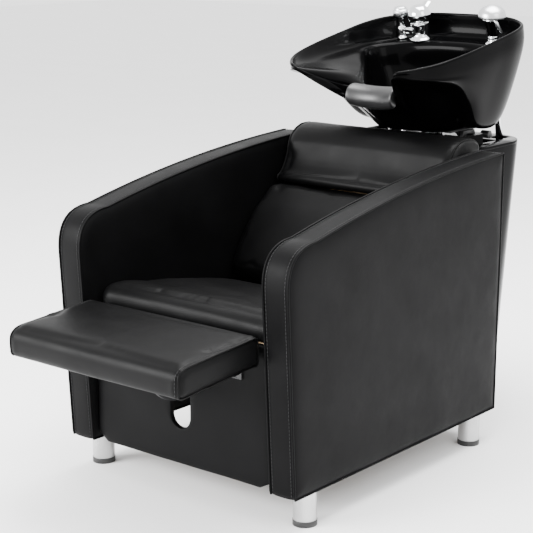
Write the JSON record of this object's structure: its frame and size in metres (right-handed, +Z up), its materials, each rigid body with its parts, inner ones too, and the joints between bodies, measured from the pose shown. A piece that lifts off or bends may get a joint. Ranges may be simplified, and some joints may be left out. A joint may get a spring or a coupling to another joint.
{
  "type": "shampoo backwash unit",
  "caption": "Black vinyl salon shampoo armchair with folding leg rest and a tilting gloss black wash bowl with faucet and spray on a rear console.",
  "frame": {"origin": "on the floor, under the middle of the overall bounding box, leg rest extended", "axes": "+Z up; the chair faces -Y and the bowl is at its +Y end; the sitter's left hand is at +X"},
  "size_m": [0.65, 1.3864, 1.0031],
  "materials": {
    "vinyl": "satin",
    "vinyl_cushion": "satin",
    "bowl_gloss": "gloss",
    "console_gloss": "gloss",
    "neck_gel": "satin",
    "chrome": "polished",
    "chromed_plastic": "polished",
    "satin_steel": "satin",
    "black_steel": "satin",
    "timber": "matte",
    "black_plastic": "satin"
  },
  "bodies": {
    "chair": {"leg_front_left": "satin_steel", "leg_front_right": "satin_steel", "leg_rear_left": "satin_steel", "leg_rear_right": "satin_steel", "leg_feet": "black_plastic", "leg_screws": "satin_steel", "arm_frame_left": "timber", "arm_frame_right": "timber", "arm_outer_left": "vinyl", "arm_outer_right": "vinyl", "arm_inner_left": "vinyl", "arm_inner_right": "vinyl", "arm_band_left": "vinyl", "arm_band_right": "vinyl", "front_panel": "vinyl", "front_rail": "timber", "seat_deck": "timber", "seat_cleats": "timber", "seat_cushion": "vinyl_cushion", "back_rails": "timber", "back_board": "timber", "back_cushion": "vinyl_cushion", "back_bolster": "vinyl_cushion", "back_panel": "vinyl", "support_frame": "black_steel", "frame_bolts": "satin_steel", "console_shell": "console_gloss", "console_lid": "console_gloss", "access_panel": "console_gloss", "pivot_bolts": "satin_steel", "friction_washers": "black_plastic", "hinge_brackets": "black_steel", "hinge_rod": "satin_steel", "pawl_bracket": "black_steel", "pawl_spring": "satin_steel"},
    "bowl": {"bowl_basin": "bowl_gloss", "bowl_skirt": "bowl_gloss", "neck_rest": "neck_gel", "bowl_bracket": "black_steel", "drain_flange": "chrome", "drain_gasket": "black_plastic", "drain_nut": "chrome", "drain_tailpiece": "chrome", "faucet_body": "chrome", "vacuum_breaker": "chrome", "hot_supply": "satin_steel", "cold_supply": "satin_steel", "spray_socket": "chrome", "hose_guide": "chrome"},
    "strainer": {"hair_strainer": "chrome"},
    "mixer_stem": {"faucet_stem": "chrome"},
    "mixer_lever": {"faucet_lever": "chrome"},
    "spray": {"spray_head": "chromed_plastic", "spray_hose": "black_plastic"},
    "tilt_lock": {"tilt_lever": "black_plastic"},
    "leg_rest": {"legrest_pad": "vinyl_cushion", "legrest_board": "black_plastic", "hinge_arms": "black_steel", "quadrant": "black_steel"},
    "ratchet_pawl": {"pawl": "satin_steel"}
  },
  "joints": [
    {"name": "bowl_tilt", "type": "hinge", "parent": "chair", "child": "bowl", "pos_m": [0, 0.51025, 0.682], "axis": [1, 0, 0], "range_deg": [-8, 5]},
    {"name": "tilt_lock_turn", "type": "hinge", "parent": "chair", "child": "tilt_lock", "pos_m": [0, 0.51025, 0.682], "axis": [1, 0, 0], "range_deg": [-30, 0]},
    {"name": "strainer_lift", "type": "slide", "parent": "bowl", "child": "strainer", "axis": [0, -0.1857, 0.9826], "range_m": [0, 0.06]},
    {"name": "mixer_turn", "type": "hinge", "parent": "bowl", "child": "mixer_stem", "pos_m": [-0.097, 0.58715, 0.95952], "axis": [0, -0.1857, 0.9826], "range_deg": [-45, 45]},
    {"name": "mixer_lift", "type": "hinge", "parent": "mixer_stem", "child": "mixer_lever", "pos_m": [-0.097, 0.58588, 0.9662], "axis": [-1, 0, 0], "range_deg": [0, 18]},
    {"name": "spray_pull", "type": "slide", "parent": "bowl", "child": "spray", "axis": [0, -0.1857, 0.9826], "range_m": [0, 0.2]},
    {"name": "legrest_fold", "type": "hinge", "parent": "chair", "child": "leg_rest", "pos_m": [0, -0.44775, 0.334], "axis": [1, 0, 0], "range_deg": [0, 80]},
    {"name": "pawl_release", "type": "hinge", "parent": "chair", "child": "ratchet_pawl", "pos_m": [0, -0.39975, 0.276], "axis": [1, 0, 0], "range_deg": [-18, 0], "stiffness_Nm_per_rad": 0.03, "springref_deg": 28.65}
  ]
}
